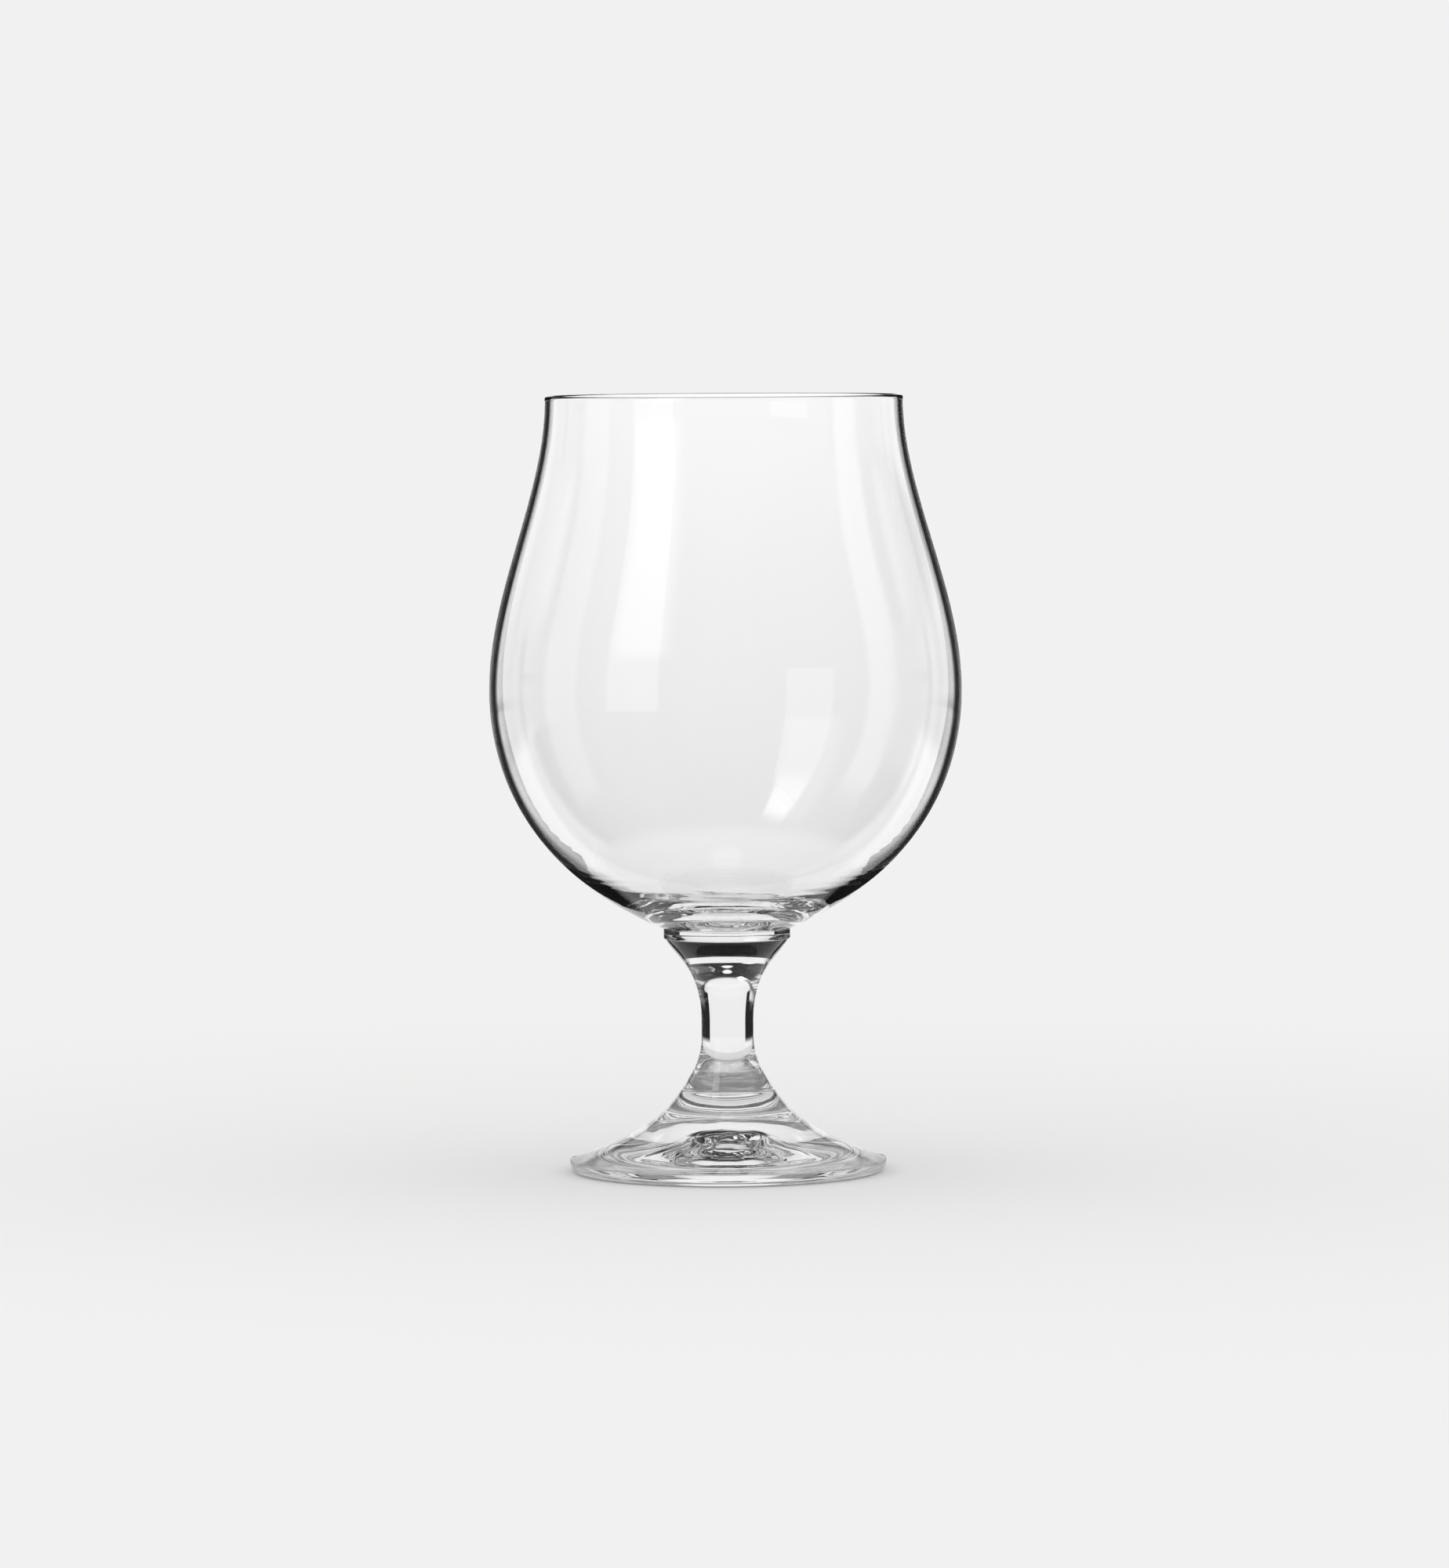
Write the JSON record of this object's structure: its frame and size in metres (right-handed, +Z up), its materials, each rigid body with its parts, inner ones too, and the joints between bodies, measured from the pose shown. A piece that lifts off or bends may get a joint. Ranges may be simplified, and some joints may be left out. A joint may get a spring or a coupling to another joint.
{
  "type": "beer snifter",
  "caption": "Clear glass beer snifter: a tulip bowl that narrows to its mouth, fused through a collar to a short waisted stem and a flared foot.",
  "frame": {"origin": "on the table, under the glass's axis of revolution, at the height of the foot's standing ring", "axes": "+Z up along the axis of revolution, from the foot to the mouth; +X and +Y are free, because the glass is turned"},
  "size_m": [0.0974, 0.0974, 0.16],
  "materials": {
    "bowl_glass": "fire-polished thin clear glass",
    "collar_glass": "pressed clear glass with a crisp edge",
    "stem_glass": "drawn clear glass",
    "foot_glass": "drawn clear glass with a ground standing ring"
  },
  "bodies": {
    "root": {"bowl": "bowl_glass", "collar": "collar_glass", "stem": "stem_glass", "foot": "foot_glass"}
  },
  "joints": []
}
